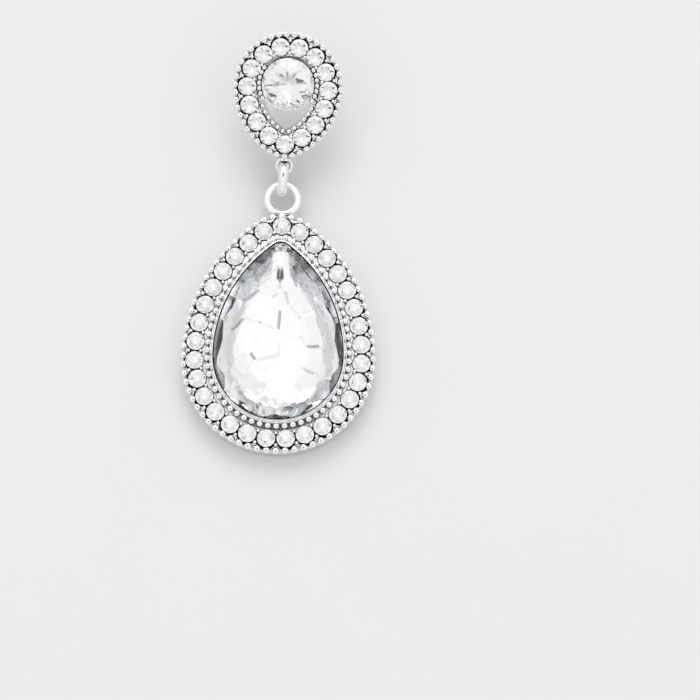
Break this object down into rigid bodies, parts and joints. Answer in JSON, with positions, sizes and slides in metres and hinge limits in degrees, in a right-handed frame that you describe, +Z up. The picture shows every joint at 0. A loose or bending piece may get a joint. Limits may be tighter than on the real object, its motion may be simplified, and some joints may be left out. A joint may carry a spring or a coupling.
{
  "type": "teardrop earring",
  "caption": "Post earring: a small pear-shaped halo stud with a round stone, a jump ring and a large pear-shaped halo drop with a pear-cut stone.",
  "frame": {"origin": "middle of the earring's box on the surface it lies on, at z = 0", "axes": "+Y from the drop to the stud, +X to the right of the front, +Z up, out of the drop's face"},
  "size_m": [0.0262, 0.058, 0.0124],
  "materials": {
    "silver": "bright rhodium plate",
    "crystal": "foil-backed clear crystal"
  },
  "bodies": {
    "root": {"drop_frame": "silver", "pear_stone": "crystal", "drop_stone_01": "crystal", "drop_stone_02": "crystal", "drop_stone_03": "crystal", "drop_stone_04": "crystal", "drop_stone_05": "crystal", "drop_stone_06": "crystal", "drop_stone_07": "crystal", "drop_stone_08": "crystal", "drop_stone_09": "crystal", "drop_stone_10": "crystal", "drop_stone_11": "crystal", "drop_stone_12": "crystal", "drop_stone_13": "crystal", "drop_stone_14": "crystal", "drop_stone_15": "crystal", "drop_stone_16": "crystal", "drop_stone_17": "crystal", "drop_stone_18": "crystal", "drop_stone_19": "crystal", "drop_stone_20": "crystal", "drop_stone_21": "crystal", "drop_stone_22": "crystal", "drop_stone_23": "crystal", "drop_stone_24": "crystal", "drop_stone_25": "crystal", "drop_stone_26": "crystal", "drop_stone_27": "crystal", "drop_stone_28": "crystal", "drop_stone_29": "crystal", "drop_stone_30": "crystal", "drop_stone_31": "crystal", "jump_ring": "silver", "stud_frame": "silver", "round_stone": "crystal", "ear_post": "silver"}
  },
  "joints": []
}
